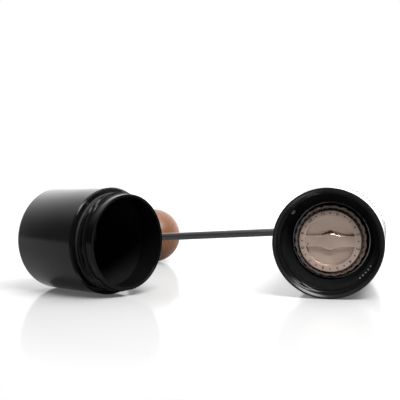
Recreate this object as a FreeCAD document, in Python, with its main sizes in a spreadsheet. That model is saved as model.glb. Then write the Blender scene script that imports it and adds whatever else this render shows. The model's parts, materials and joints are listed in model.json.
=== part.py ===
# Hand crank coffee grinder, drawn as the separate pieces it is put together from.
#
# The grinder lies on its side with the cup unscrewed and the crank swung to the left, so its
# knob rests on the table. Row frame in millimetres: the origin is the centre of the open cup
# socket, +Y runs along the grinder's axis towards the crank, +Z is up.
#
# Every piece that sits on an axis is drawn upright, on its own Z axis, and is then laid over.
# "u" in the comments is the distance along the grinder's axis from the open cup socket, and
# "w" is the distance along the cup's axis from the cup's base.

import FreeCAD, Part
import math
import os
import Sketcher

os.makedirs("parts", exist_ok=True)
doc = FreeCAD.newDocument("grinder")
Vector = FreeCAD.Vector
Rotation = FreeCAD.Rotation
Placement = FreeCAD.Placement


# ---------------------------------------------------------------- sizes
# A Size is a number that remembers the formula it came from, so that what is worked out from
# the size table stays tied to it.

class Size:
    """A number with the formula that gives it."""

    def __init__(self, value, text):
        self.value = float(value)
        self.text = text

    def joined(self, sign, other, value):
        return Size(value, "(" + self.text + " " + sign + " " + size(other).text + ")")

    def __add__(self, other):
        return self.joined("+", other, self.value + size(other).value)

    def __sub__(self, other):
        return self.joined("-", other, self.value - size(other).value)

    def __mul__(self, other):
        return self.joined("*", other, self.value * size(other).value)

    def __truediv__(self, other):
        return self.joined("/", other, self.value / size(other).value)

    def __neg__(self):
        return Size(-self.value, "(0 - " + self.text + ")")


def size(number):
    """Any plain number as a Size."""
    if isinstance(number, Size):
        return number
    return Size(number, repr(float(number)))


sheet = doc.addObject("Spreadsheet::Sheet", "Sizes")
entered = []


def drive(alias, amount):
    """Enter a driving size in the table: millimetres, degrees or a count."""
    entered.append(alias)
    row = len(entered)
    sheet.set("A%d" % row, alias)
    sheet.set("B%d" % row, str(amount))
    sheet.setAlias("B%d" % row, alias)
    return Size(amount, "Sizes." + alias)


# Clearances.
seat_gap = drive("seat_gap", 0.06)                # ring pieces in the tube's bore
run_gap = drive("run_gap", 0.05)                  # what turns or slides on something else
fixed_gap = drive("fixed_gap", 0.02)              # what is pressed in or screwed in

# The tube, the cup socket and the cup's neck.
body_radius = drive("body_radius", 29.0)          # outside of the grinder and of the cup
body_length = drive("body_length", 122.0)         # open socket to hopper mouth
tube_wall = drive("tube_wall", 2.4)               # wall round the burrs and the hopper
socket_wall = drive("socket_wall", 2.0)           # wall round the cup socket
thread_height = drive("thread_height", 1.1)       # ridges of the socket's thread
thread_pitch = drive("thread_pitch", 3.0)         # one ridge to the next, socket and neck
neck_length = drive("neck_length", 13.0)          # cup's neck, shoulder to rim
grip_relief = drive("grip_relief", 0.4)           # depth of the band that carries the knurling
grip_start = drive("grip_start", 28.0)            # u where the knurled band starts
grip_margin = drive("grip_margin", 26.0)          # from the end of the band to the hopper mouth
lip_height = drive("lip_height", 1.0)             # lip between the socket and the carrier

# The carrier and the burrs.
burr_radius = drive("burr_radius", 24.0)          # outside of the ring burr
burr_wall = drive("burr_wall", 5.0)               # from there in to the cone burr's widest part
burr_height = drive("burr_height", 22.0)          # ring burr, top to bottom
burr_gap = drive("burr_gap", 0.75)                # between the two burrs at their lower edge
outlet_gap = drive("outlet_gap", 2.2)             # way out round the cone burr
outlet_flare = drive("outlet_flare", 2.0)         # how much wider the flange's hole is
outlet_depth = drive("outlet_depth", 12.6)        # from the flange to the ring burr

# The shaft, its bearings and its spring.
shaft_radius = drive("shaft_radius", 4.0)
hex_flats = drive("hex_flats", 7.0)               # across the flats at the top of the shaft
bearing_radius = drive("bearing_radius", 8.0)     # outside of a ball bearing
bearing_width = drive("bearing_width", 5.0)
race_wall = drive("race_wall", 1.1)               # wall of either race of a bearing
hopper_margin = drive("hopper_margin", 22.0)      # from the upper bridge to the hopper mouth
clip_width = drive("clip_width", 0.65)            # groove of a shaft clip
key_half = drive("key_half", 1.0)                 # half the width of the shaft's key
grub_radius = drive("grub_radius", 1.5)           # set screws of the burr and the hub

# The dial.
dial_height = drive("dial_height", 7.2)           # fluted rim, front to back
disc_rise = drive("disc_rise", 3.0)               # how far the numbered disc stands out of it
rim_depth = drive("rim_depth", 3.0)               # depth of the gap between rim and disc
dial_gap = drive("dial_gap", 1.6)                 # round the fluted rim, in the outlet
rim_wall = drive("rim_wall", 1.9)                 # wall of the fluted rim
rim_gap = drive("rim_gap", 0.9)                   # between the rim and the numbered disc
number_band = drive("number_band", 3.5)           # flat band that carries the numbers
well_depth = drive("well_depth", 2.6)             # round well inside that band
bar_half = drive("bar_half", 3.2)                 # half the width of the grip bar
bar_swell = drive("bar_swell", 5.7)               # half its width at the middle
flute_count = drive("flute_count", 24)            # scallops round the rim
notch_count = drive("notch_count", 36)            # click notches inside the rim
number_count = drive("number_count", 12)          # numbers, with a dot between each two
screw_head = drive("screw_head", 1.9)             # radius of the dial screws' heads
detent_ball = drive("detent_ball", 1.5)           # radius of the sprung balls behind the dial

# The lid and the crank.
collar_wall = drive("collar_wall", 1.8)           # collar round the hopper's mouth
lid_height = drive("lid_height", 4.0)             # lid above the hopper's mouth
plug_gap = drive("plug_gap", 0.5)                 # lid's plug in the collar
spigot_radius = drive("spigot_radius", 7.5)       # crank hub where it turns in the lid
hub_radius = drive("hub_radius", 12.0)            # crank hub above the lid
hub_height = drive("hub_height", 8.5)             # crank hub above the lid, its height
cap_radius = drive("cap_radius", 5.0)             # round cap in the top of the hub
arm_rise = drive("arm_rise", 4.0)                 # middle of the arm above the lid
arm_radius = drive("arm_radius", 2.75)            # crank arm rod
crank_length = drive("crank_length", 147.0)       # grinder's axis to knob's axis
eye_radius = drive("eye_radius", 6.5)             # eye at the end of the arm
eye_height = drive("eye_height", 6.8)

# The knob.
axle_radius = drive("axle_radius", 3.0)           # pin the knob turns on
knob_radius = drive("knob_radius", 20.5)          # widest part of the knob
knob_reach = drive("knob_reach", 30.0)            # from the arm to that widest part
knob_neck = drive("knob_neck", 9.0)               # neck of the knob
knob_cut = drive("knob_cut", 3.0)                 # cut off the far end of its ball
bush_wall = drive("bush_wall", 1.5)               # bushes in the knob

# The cup, and where it lies.
cup_length = drive("cup_length", 47.0)            # cup's wide part, base to shoulder
cup_wall = drive("cup_wall", 2.6)                 # wall of the wide part
neck_wall = drive("neck_wall", 1.5)               # wall of the neck
thread_play = drive("thread_play", 0.4)           # neck in the socket, all round
cup_mouth_x = drive("cup_mouth_x", -102.7)        # where the middle of the cup's rim lies
cup_mouth_y = drive("cup_mouth_y", -17.3)
cup_turn = drive("cup_turn", 27.0)                # degrees between the cup's axis and the X axis
doc.recompute()

# What follows from them. Radii first, from the outside in.
body_bore = body_radius - tube_wall
ring_outside = body_bore - seat_gap
socket_root = body_radius - socket_wall
socket_crest = socket_root - thread_height
neck_radius = socket_crest - thread_play
neck_crest = socket_root - (thread_play - 0.1)
collar_bore = body_bore - collar_wall
plug_radius = collar_bore - plug_gap
cone_radius = burr_radius - burr_wall
carrier_throat = cone_radius + outlet_gap
carrier_mouth = carrier_throat + outlet_flare
dial_radius = carrier_throat - dial_gap
disc_radius = dial_radius - rim_wall - rim_gap
well_radius = disc_radius - number_band
cup_bore = neck_radius - neck_wall
cup_belly = body_radius - cup_wall

# Radii from the shaft out.
race_inside = shaft_radius + race_wall
race_outside = bearing_radius - race_wall
spring_seat = shaft_radius + 3.0
nut_radius = shaft_radius + 1.2
screw_circle = nut_radius + 1.9 + screw_head
detent_circle = (screw_circle + cone_radius) / 2.0
bush_radius = axle_radius + run_gap + bush_wall

# Heights along the grinder's axis, from the socket to the crank.
carrier_face = neck_length + thread_play
socket_depth = carrier_face - lip_height
burr_floor = carrier_face + outlet_depth
cone_floor = burr_floor + 1.7
cone_height = burr_height - 4.7
cone_top = cone_floor + cone_height
dial_back = cone_floor - 0.5
ring_face = dial_back - dial_height
dial_face = ring_face - disc_rise
disc_back = ring_face + rim_depth
carrier_top = burr_floor + burr_height + 2.0
bridge_thick = bearing_width + 2.0
bridge_low = carrier_top
bridge_high = body_length - hopper_margin
clip_low = bridge_low - 1.2
clip_high = bridge_high + bearing_width + 1.05
hex_start = bridge_high + 12.0
lid_top = body_length + lid_height
arm_level = lid_top + arm_rise
hub_top = lid_top + hub_height
knob_level = arm_level + knob_reach
knob_end = knob_level + knob_radius - knob_cut
eye_low = arm_level - eye_height / 2.0
eye_high = arm_level + eye_height / 2.0
knob_base = eye_high + 1.3
shaft_top = arm_level - arm_radius - 0.65
grip_end = body_length - grip_margin


# ---------------------------------------------------------------- where things lie
# Laid over: a piece's own Z axis becomes +Y of the row frame.
# The crank drops until the widest part of its knob touches the table.

laid_over = Rotation(Vector(1, 0, 0), -90.0)
drop_sine = (body_radius.value - knob_radius.value) / crank_length.value
drop_angle = math.degrees(math.asin(drop_sine))
on_grinder = Placement(Vector(0, 0, 0), laid_over)
on_spindle = Placement(Vector(0, 0, 0), laid_over * Rotation(Vector(0, 0, 1), -drop_angle))
knob_x = -crank_length.value * math.cos(math.radians(drop_angle))
knob_z = -crank_length.value * drop_sine
on_knob = Placement(Vector(knob_x, 0, knob_z), on_spindle.Rotation)
cup_angle = math.radians(cup_turn.value)
cup_total = cup_length.value + neck_length.value
cup_x = cup_mouth_x.value - cup_total * math.cos(cup_angle)
cup_y = cup_mouth_y.value + cup_total * math.sin(cup_angle)
towards_mouth = Rotation(Vector(0, 0, 1), -cup_turn.value) * Rotation(Vector(0, 1, 0), 90.0)
on_cup = Placement(Vector(cup_x, cup_y, 0), towards_mouth)


# ---------------------------------------------------------------- ways of drawing

pieces = []


def origin_item(body, role):
    """The body's own plane or axis with this role, such as XZ_Plane or Z_Axis."""
    for item in body.Origin.OriginFeatures:
        if item.Role == role:
            return item
    raise ValueError(role)


def new_body(name, placement):
    """An empty body with its label, entered in the list of pieces."""
    body = doc.addObject("PartDesign::Body", name)
    body.Label = name
    if hasattr(body, "AllowCompound"):
        body.AllowCompound = True
    body.Placement = placement
    pieces.append(body)
    return body


def new_sketch(body, name, role, level=None):
    """A sketch on one of the body's own planes, raised by a level from the size table."""
    sketch = body.newObject("Sketcher::SketchObject", body.Name + "_" + name)
    sketch.AttachmentSupport = [(origin_item(body, role), "")]
    sketch.MapMode = "FlatFace"
    if level is not None:
        sketch.AttachmentOffset = Placement(Vector(0, 0, level.value), Rotation())
        sketch.setExpression("AttachmentOffset.Base.z", level.text)
    return sketch


def tie(sketch, kind, where, amount):
    """A measured constraint bound to its formula."""
    index = sketch.addConstraint(Sketcher.Constraint(kind, *where, amount.value))
    sketch.setExpression("Constraints[%d]" % index, amount.text)


def outline(sketch, corners):
    """A closed outline of straight lines, each corner tied to the size table both ways."""
    corners = [(size(across), size(up)) for across, up in corners]
    points = [Vector(across.value, up.value, 0) for across, up in corners]
    first = sketch.GeometryCount
    for index, point in enumerate(points):
        following = points[(index + 1) % len(points)]
        sketch.addGeometry(Part.LineSegment(point, following), False)
    for index, (across, up) in enumerate(corners):
        line = first + index
        previous = first + (index - 1) % len(points)
        sketch.addConstraint(Sketcher.Constraint("Coincident", previous, 2, line, 1))
        tie(sketch, "DistanceX", (-1, 1, line, 1), across)
        tie(sketch, "DistanceY", (-1, 1, line, 1), up)


def circle(sketch, across, up, radius):
    """A circle with its centre and radius tied to the size table."""
    across, up, radius = size(across), size(up), size(radius)
    centre = Vector(across.value, up.value, 0)
    index = sketch.addGeometry(Part.Circle(centre, Vector(0, 0, 1), radius.value), False)
    tie(sketch, "DistanceX", (-1, 1, index, 3), across)
    tie(sketch, "DistanceY", (-1, 1, index, 3), up)
    tie(sketch, "Radius", (index,), radius)


def turned(name, placement, *outlines):
    """A body turned on a lathe from one or more half sections (radius, height)."""
    body = new_body(name, placement)
    sketch = new_sketch(body, "section", "XZ_Plane")
    for corners in outlines:
        outline(sketch, corners)
    turning = body.newObject("PartDesign::Revolution", name + "_turning")
    turning.Profile = sketch
    turning.ReferenceAxis = (sketch, ["V_Axis"])
    turning.Angle = 360.0
    body.Tip = turning
    return body


def repeated(body, feature, count):
    """The feature repeated evenly round the body's Z axis."""
    pattern = body.newObject("PartDesign::PolarPattern", feature.Name + "_round")
    pattern.Originals = [feature]
    pattern.Axis = (origin_item(body, "Z_Axis"), [""])
    pattern.Angle = 360.0
    pattern.Occurrences = int(size(count).value)
    if isinstance(count, Size):
        pattern.setExpression("Occurrences", count.text)
    body.Tip = pattern
    return pattern


def cut_up(body, name, level, length, draw, count=None):
    """A pocket that starts at a level and goes up; draw puts the shape in its sketch."""
    length = size(length)
    sketch = new_sketch(body, name + "_shape", "XY_Plane", level)
    draw(sketch)
    pocket = body.newObject("PartDesign::Pocket", body.Name + "_" + name)
    pocket.Profile = sketch
    pocket.Length = length.value
    pocket.setExpression("Length", length.text)
    pocket.Reversed = True
    body.Tip = pocket
    if count is not None:
        repeated(body, pocket, count)
    return pocket


def raised(body, name, level, length, draw, count=None):
    """A pad that starts at a level and goes up."""
    length = size(length)
    sketch = new_sketch(body, name + "_shape", "XY_Plane", level)
    draw(sketch)
    pad = body.newObject("PartDesign::Pad", body.Name + "_" + name)
    pad.Profile = sketch
    pad.Length = length.value
    pad.setExpression("Length", length.text)
    body.Tip = pad
    if count is not None:
        repeated(body, pad, count)
    return pad


def hexagon(sketch, across_flats):
    """A hexagon round the axis, by its size across the flats."""
    corners = []
    for step in range(6):
        angle = math.radians(60.0 * step)
        reach = size(across_flats) / math.sqrt(3.0)
        corners.append((reach * math.cos(angle), reach * math.sin(angle)))
    outline(sketch, corners)


def slot_shape(sketch, near, far, half):
    """A rectangle that points outwards from the axis."""
    outline(sketch, [(near, -half), (far, -half), (far, half), (near, half)])


def cut_side(body, name, start, length, height, radius, inwards=False, count=None):
    """A round hole square to the axis, drilled along X at a height on the axis."""
    length = size(length)
    sketch = new_sketch(body, name + "_shape", "YZ_Plane", start)
    circle(sketch, 0.0, height, radius)
    pocket = body.newObject("PartDesign::Pocket", body.Name + "_" + name)
    pocket.Profile = sketch
    pocket.Length = length.value
    pocket.setExpression("Length", length.text)
    pocket.Reversed = not inwards
    body.Tip = pocket
    if count is not None:
        repeated(body, pocket, count)
    return pocket


def window(sketch, inner, outer, spread):
    """The opening between two spokes: two arcs round the axis and two straight sides."""
    half = math.radians(spread / 2.0)
    arcs = []
    for radius in (size(inner), size(outer)):
        round_it = Part.Circle(Vector(0, 0, 0), Vector(0, 0, 1), radius.value)
        arc = sketch.addGeometry(Part.ArcOfCircle(round_it, -half, half), False)
        sketch.addConstraint(Sketcher.Constraint("Coincident", arc, 3, -1, 1))
        tie(sketch, "Radius", (arc,), radius)
        tie(sketch, "DistanceY", (-1, 1, arc, 1), -(radius * math.sin(half)))
        tie(sketch, "DistanceY", (-1, 1, arc, 2), radius * math.sin(half))
        arcs.append((arc, radius))
    for end, sign in ((1, -1.0), (2, 1.0)):
        ends = []
        for arc, radius in arcs:
            across = radius.value * math.cos(half)
            ends.append(Vector(across, sign * radius.value * math.sin(half), 0))
        line = sketch.addGeometry(Part.LineSegment(ends[0], ends[1]), False)
        sketch.addConstraint(Sketcher.Constraint("Coincident", line, 1, arcs[0][0], end))
        sketch.addConstraint(Sketcher.Constraint("Coincident", line, 2, arcs[1][0], end))


def raised_by(level, across=0.0, sideways=0.0):
    """The step from a piece's origin to a place on it."""
    return Placement(Vector(size(across).value, size(sideways).value, size(level).value), Rotation())


def round_axis(radius, degrees, level):
    """A place at this radius and angle round the axis."""
    angle = math.radians(degrees)
    reach = size(radius).value
    return raised_by(level, reach * math.cos(angle), reach * math.sin(angle))


def bind(thing, prop, amount):
    """Set a property of a simple solid and tie it to the size table."""
    amount = size(amount)
    setattr(thing, prop, amount.value)
    thing.setExpression(prop, amount.text)


def rod(name, placement, radius, length):
    """A plain cylinder."""
    thing = doc.addObject("Part::Cylinder", name)
    bind(thing, "Radius", radius)
    bind(thing, "Height", length)
    thing.Placement = placement
    return thing


def ball(name, placement, radius):
    """A plain ball."""
    thing = doc.addObject("Part::Sphere", name)
    bind(thing, "Radius", radius)
    thing.Placement = placement
    return thing


def o_ring(name, placement, level, middle, thickness):
    """A rubber ring of round section."""
    thing = doc.addObject("Part::Torus", name)
    bind(thing, "Radius1", middle)
    bind(thing, "Radius2", thickness)
    thing.Placement = placement * raised_by(level)
    thing.Label = name
    pieces.append(thing)
    return thing


def together(name, things):
    """Several alike solids kept as one piece, such as a set of screws."""
    group = doc.addObject("Part::Compound", name)
    group.Links = things
    group.Label = name
    pieces.append(group)
    return group


def coil(name, placement, level, radius, wire, pitch, height):
    """A spring: a round wire carried along a helix."""
    path = doc.addObject("Part::Helix", name + "_path")
    bind(path, "Pitch", pitch)
    bind(path, "Height", height)
    bind(path, "Radius", radius)
    section = doc.addObject("Part::Circle", name + "_wire")
    bind(section, "Radius", wire)
    upright = Rotation(Vector(1, 0, 0), 90.0)
    section.Placement = Placement(Vector(size(radius).value, 0, 0), upright)
    spring = doc.addObject("Part::Sweep", name)
    spring.Sections = [section]
    spring.Spine = (path, [])
    spring.Solid = True
    spring.Frenet = True
    spring.Placement = placement * raised_by(level)
    return spring


# ---------------------------------------------------------------- the standing parts
# The tube: a thread at the cup end, a lip that the carrier rests on, and one long bore.

def ridge(start):
    """One thread ridge of the socket, from its deep side to its open side."""
    return [(socket_root, start + 1.4), (socket_crest, start + 0.9),
            (socket_crest, start + 0.5), (socket_root, start)]


tube = [(body_radius - 0.6, 0), (body_radius, 0.6), (body_radius, grip_start),
        (body_radius - grip_relief, grip_start + grip_relief),
        (body_radius - grip_relief, grip_end - grip_relief), (body_radius, grip_end),
        (body_radius, body_length - 0.6), (body_radius - 0.6, body_length),
        (body_bore + 0.4, body_length), (body_bore, body_length - 0.4),
        (body_bore, carrier_face), (socket_crest, carrier_face),
        (socket_crest, socket_depth), (socket_root, socket_depth)]
for turn in (2, 1, 0):
    tube += ridge(thread_pitch * turn + 1.8)
tube += [(socket_root, 1.3), (socket_root + 0.9, 0)]
turned("body_tube", on_grinder, tube)

# The carrier: the flange round the dial, and the seat of the ring burr above it.
burr_seat = burr_radius + seat_gap
grub_level = burr_floor + 14.0
burr_carrier = turned("burr_carrier", on_grinder, [
    (carrier_mouth, carrier_face), (ring_outside, carrier_face), (ring_outside, carrier_top),
    (burr_seat, carrier_top), (burr_seat, burr_floor), (carrier_throat, burr_floor),
    (carrier_throat, burr_floor - 7.0), (carrier_mouth, carrier_face + 0.6)])
cut_side(burr_carrier, "grub_hole", burr_radius - 1.0, ring_outside - burr_radius + 2.0,
         grub_level, grub_radius + fixed_gap, count=3)

# The ring burr: wide at the top to take whole beans, narrow at the throat, wide again below.
outer_burr = turned("outer_burr", on_grinder, [
    (cone_radius + 1.6, burr_floor), (burr_radius, burr_floor),
    (burr_radius, burr_floor + burr_height), (cone_radius + 2.0, burr_floor + burr_height),
    (cone_radius - 4.8, burr_floor + 12.0), (cone_radius + burr_gap, burr_floor + 3.0)])
cut_up(outer_burr, "teeth", burr_floor, burr_height,
       lambda sketch: outline(sketch, [(cone_radius - 7.0, -1.1), (cone_radius - 2.4, 0.0),
                                       (cone_radius - 7.0, 1.1)]), count=18)

grubs = []
for step in range(3):
    inner_end = round_axis(burr_seat + 0.01, 120.0 * step, grub_level)
    outwards = Placement(Vector(0, 0, 0), Rotation(Vector(0, 0, 1), 120.0 * step)
                         * Rotation(Vector(0, 1, 0), 90.0))
    grubs.append(rod("grub_%d" % step, on_grinder * inner_end * outwards, grub_radius,
                     ring_outside - burr_radius - 0.2))
together("burr_grub_screws", grubs)

# Paint marks on the flange: one index dot, and a row of five across from it.
mark_height = 0.12
mark_circle = carrier_mouth + 1.65
marks = [rod("index_dot", on_grinder * round_axis(mark_circle, 218.8, carrier_face - mark_height),
             0.95, mark_height)]
for step in range(5):
    place = round_axis(mark_circle, 30.5 + 4.85 * step, carrier_face - mark_height)
    marks.append(rod("small_dot_%d" % step, on_grinder * place, 0.5, mark_height))
together("flange_marks", marks)


def bridge(name, start):
    """A three-spoked ring that carries a ball bearing and lets the beans fall past."""
    bearing_seat = bearing_radius + fixed_gap
    body = turned(name, on_grinder, [
        (shaft_radius + 2.5, start), (ring_outside, start), (ring_outside, start + bridge_thick),
        (bearing_seat, start + bridge_thick), (bearing_seat, start + 1.0),
        (shaft_radius + 2.5, start + 1.0)])
    cut_up(body, "windows", start - 0.5, bridge_thick + 1.0,
           lambda sketch: window(sketch, bearing_radius + 3.0, body_bore - 3.0, 96.0), count=3)


bridge("lower_bridge", bridge_low)
bridge("upper_bridge", bridge_high)


def both_bearings(inside, outside, low, high):
    """The same half section at the lower bearing and at the upper one."""
    sections = []
    for start in (bridge_low + 1.0, bridge_high + 1.0):
        sections.append([(inside, start + low), (outside, start + low),
                         (outside, start + high), (inside, start + high)])
    return sections


turned("bearing_outer_rings", on_grinder,
       *both_bearings(race_outside, bearing_radius, 0.0, bearing_width))
shields = both_bearings(race_inside + 0.1, race_outside - 0.05, 0.2, 0.5)
shields += both_bearings(race_inside + 0.1, race_outside - 0.05,
                         bearing_width - 0.5, bearing_width - 0.2)
turned("bearing_shields", on_grinder, *shields)
balls = []
for start in (bridge_low + 1.0, bridge_high + 1.0):
    for step in range(8):
        place = round_axis((race_inside + race_outside) / 2.0, 45.0 * step,
                           start + bearing_width / 2.0)
        balls.append(ball("bearing_ball", on_grinder * place,
                          (race_outside - race_inside) / 2.0 - run_gap))
together("bearing_balls", balls)

# The smooth sleeve the beans slide down, and the collar round the hopper's mouth.
sleeve_low = bridge_low + bridge_thick
collar_low = bridge_high + bridge_thick
turned("hopper_sleeve", on_grinder, [
    (body_bore - 1.2, sleeve_low), (ring_outside, sleeve_low),
    (ring_outside, bridge_high), (body_bore - 1.2, bridge_high)])
turned("hopper_collar", on_grinder, [
    (collar_bore, collar_low), (ring_outside, collar_low), (ring_outside, body_length - 0.6),
    (collar_bore + 0.8, body_length - 0.6), (collar_bore, body_length - 1.4)])


# ---------------------------------------------------------------- what turns with the shaft
key_low = cone_floor + 2.3
key_length = size(8.0)
drive_shaft = turned("drive_shaft", on_spindle, [
    (0, disc_back + 0.6), (shaft_radius - 0.4, disc_back + 0.6), (shaft_radius, disc_back + 1.0),
    (shaft_radius, clip_low), (shaft_radius - 0.4, clip_low),
    (shaft_radius - 0.4, clip_low + clip_width), (shaft_radius, clip_low + clip_width),
    (shaft_radius, clip_high), (shaft_radius - 0.4, clip_high),
    (shaft_radius - 0.4, clip_high + clip_width), (shaft_radius, clip_high + clip_width),
    (shaft_radius, hex_start), (0, hex_start)])
cut_up(drive_shaft, "keyway", key_low, key_length,
       lambda sketch: slot_shape(sketch, shaft_radius - 1.0, shaft_radius + 1.0, key_half))
raised(drive_shaft, "hex", hex_start, shaft_top - hex_start,
       lambda sketch: hexagon(sketch, hex_flats))

drive_key = new_body("drive_key", on_spindle)
raised(drive_key, "block", key_low + fixed_gap, key_length - fixed_gap * 2.0,
       lambda sketch: slot_shape(sketch, shaft_radius - 1.0 + fixed_gap, shaft_radius + 1.0,
                                 key_half - fixed_gap))

turned("bearing_inner_rings", on_spindle,
       *both_bearings(shaft_radius + fixed_gap, race_inside, 0.0, bearing_width))
clip_inside = shaft_radius - 0.36
clip_outside = shaft_radius + 1.9
clips = []
for start in (clip_low, clip_high):
    clips.append([(clip_inside, start + run_gap), (clip_outside, start + run_gap),
                  (clip_outside, start + clip_width - run_gap),
                  (clip_inside, start + clip_width - run_gap)])
turned("shaft_clips", on_spindle, *clips)
turned("bearing_spacer", on_spindle, [
    (shaft_radius + fixed_gap, clip_low + clip_width),
    (shaft_radius + 1.6, clip_low + clip_width),
    (shaft_radius + 1.6, bridge_low + 1.0), (shaft_radius + fixed_gap, bridge_low + 1.0)])
washer_low = clip_low - 0.8
turned("spring_washer", on_spindle, [
    (shaft_radius + run_gap, washer_low), (spring_seat + 0.2, washer_low),
    (spring_seat + 0.2, clip_low), (shaft_radius + run_gap, clip_low)])
spring_wire = 0.55
spring_low = cone_floor + 11.2
burr_spring = coil("burr_spring", on_spindle, spring_low, shaft_radius + 1.6, spring_wire, 1.8,
                   washer_low - spring_low - spring_wire - run_gap)
burr_spring.Label = "burr_spring"
pieces.append(burr_spring)


# ---------------------------------------------------------------- the cone burr
# It turns with the shaft and slides along it when the dial is turned.
cone_bore = shaft_radius + run_gap
inner_burr = turned("inner_burr", on_spindle, [
    (cone_bore, cone_floor), (cone_radius - 0.6, cone_floor), (cone_radius, cone_floor + 0.6),
    (cone_radius, cone_floor + 1.3), (cone_radius - 6.5, cone_floor + 10.3),
    (spring_seat + 2.5, cone_top), (spring_seat, cone_top), (spring_seat, cone_floor + 9.5),
    (cone_bore, cone_floor + 9.5)])
cut_up(inner_burr, "key_slot", cone_floor - 0.5, cone_height + 1.0,
       lambda sketch: slot_shape(sketch, shaft_radius - 1.0, shaft_radius + 1.1, key_half + run_gap))
cut_up(inner_burr, "wings", cone_floor + 10.3, cone_height,
       lambda sketch: slot_shape(sketch, spring_seat + 0.9, cone_radius - 4.0, 1.5), count=6)
cut_up(inner_burr, "teeth", cone_floor - 0.5, cone_height + 1.0,
       lambda sketch: outline(sketch, [(cone_radius - 0.9, 0.0), (cone_radius + 0.6, -0.9),
                                       (cone_radius + 0.6, 0.9)]), count=24)
cut_up(inner_burr, "detent_holes", cone_floor - 0.5, 5.0,
       lambda sketch: circle(sketch, detent_circle, 0.0, detent_ball + run_gap), count=2)
turned("thrust_washer", on_spindle, [
    (cone_bore, dial_back + run_gap), (detent_circle - detent_ball - 0.3, dial_back + run_gap),
    (detent_circle - detent_ball - 0.3, cone_floor - run_gap),
    (cone_bore, cone_floor - run_gap)])
clicks = []
pushers = []
for step in range(2):
    place = round_axis(detent_circle, 180.0 * step, cone_floor + 0.6)
    clicks.append(ball("detent_ball_%d" % step, on_spindle * place, detent_ball))
    foot = round_axis(detent_circle, 180.0 * step, 0.0)
    pushers.append(coil("detent_spring_%d" % step, on_spindle * foot,
                        cone_floor + detent_ball + 0.85, 1.0, 0.2, 0.6, 1.8))
together("detent_balls", clicks)
together("detent_springs", pushers)


# ---------------------------------------------------------------- the dial
# A fluted rim and a numbered disc, screwed together from behind, on a brass nut.
rim_inside = dial_radius - rim_wall
groove_half = detent_ball - 0.35
dial_rim = turned("dial_rim", on_grinder, [
    (nut_radius + run_gap, disc_back), (rim_inside, disc_back), (rim_inside, ring_face + 0.3),
    (rim_inside + 0.3, ring_face), (dial_radius - 0.3, ring_face),
    (dial_radius, ring_face + 0.3), (dial_radius, dial_back - 0.5),
    (dial_radius - 0.5, dial_back), (detent_circle + groove_half, dial_back),
    (detent_circle + groove_half - 0.5, dial_back - 0.6),
    (detent_circle - groove_half + 0.5, dial_back - 0.6),
    (detent_circle - groove_half, dial_back), (nut_radius + run_gap, dial_back)])
cut_up(dial_rim, "flutes", ring_face - 0.5, dial_height + 1.0,
       lambda sketch: circle(sketch, dial_radius + 2.0, 0.0, 2.6), count=flute_count)
cut_up(dial_rim, "notches", ring_face - 0.5, rim_depth + 0.5,
       lambda sketch: circle(sketch, rim_inside + 0.05, 0.0, 0.45), count=notch_count)
cut_up(dial_rim, "screw_holes", disc_back - 0.5, dial_height,
       lambda sketch: circle(sketch, screw_circle, 0.0, 1.05), count=3)
cut_up(dial_rim, "head_holes", dial_back - 1.3, 3.0,
       lambda sketch: circle(sketch, screw_circle, 0.0, screw_head + 0.05), count=3)

well_floor = dial_face + well_depth
seat = disc_back - 0.04
dial_disc = turned("dial_disc", on_grinder, [
    (0, well_floor), (well_radius, well_floor), (well_radius, dial_face),
    (disc_radius - 0.4, dial_face), (disc_radius, dial_face + 0.4), (disc_radius, seat),
    (nut_radius + 0.4, seat), (nut_radius + 0.4, disc_back - 0.7), (0, disc_back - 0.7)])


def grip_bar(sketch):
    """The bar across the well, with a swelling at its middle on both sides."""
    end = well_radius + 0.2
    upper = [(-end, -bar_half), (-5.0, -bar_half), (-1.5, -bar_swell),
             (1.5, -bar_swell), (5.0, -bar_half), (end, -bar_half)]
    lower = [(end, bar_half), (5.0, bar_half), (1.5, bar_swell),
             (-1.5, bar_swell), (-5.0, bar_half), (-end, bar_half)]
    outline(sketch, upper + lower)


raised(dial_disc, "grip_bar", dial_face + 0.2, well_depth, grip_bar)
cut_up(dial_disc, "number_dots", dial_face - 0.5, 0.75,
       lambda sketch: circle(sketch, well_radius + 1.9, 0.0, 0.4), count=number_count)
cut_up(dial_disc, "zero_dot", dial_face - 0.5, 1.0,
       lambda sketch: circle(sketch, -(well_radius - 1.4), 1.7, 0.5))
cut_up(dial_disc, "screw_holes", disc_back - 1.7, 3.0,
       lambda sketch: circle(sketch, screw_circle, 0.0, 1.05), count=3)

turned("dial_nut", on_grinder, [
    (shaft_radius + run_gap, disc_back + run_gap), (nut_radius, disc_back + run_gap),
    (nut_radius, dial_back - run_gap), (shaft_radius + run_gap, dial_back - run_gap)])
screws = []
for step in range(3):
    foot = round_axis(screw_circle, 120.0 * step, disc_back - 1.5)
    top = round_axis(screw_circle, 120.0 * step, dial_back - 1.25)
    whole = doc.addObject("Part::Fuse", "dial_screw_%d" % step)
    whole.Base = rod("dial_shank_%d" % step, foot, 1.0, dial_back - disc_back + 0.8)
    whole.Tool = rod("dial_head_%d" % step, top, screw_head, 1.15)
    whole.Placement = on_grinder
    screws.append(whole)
together("dial_screws", screws)


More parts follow.
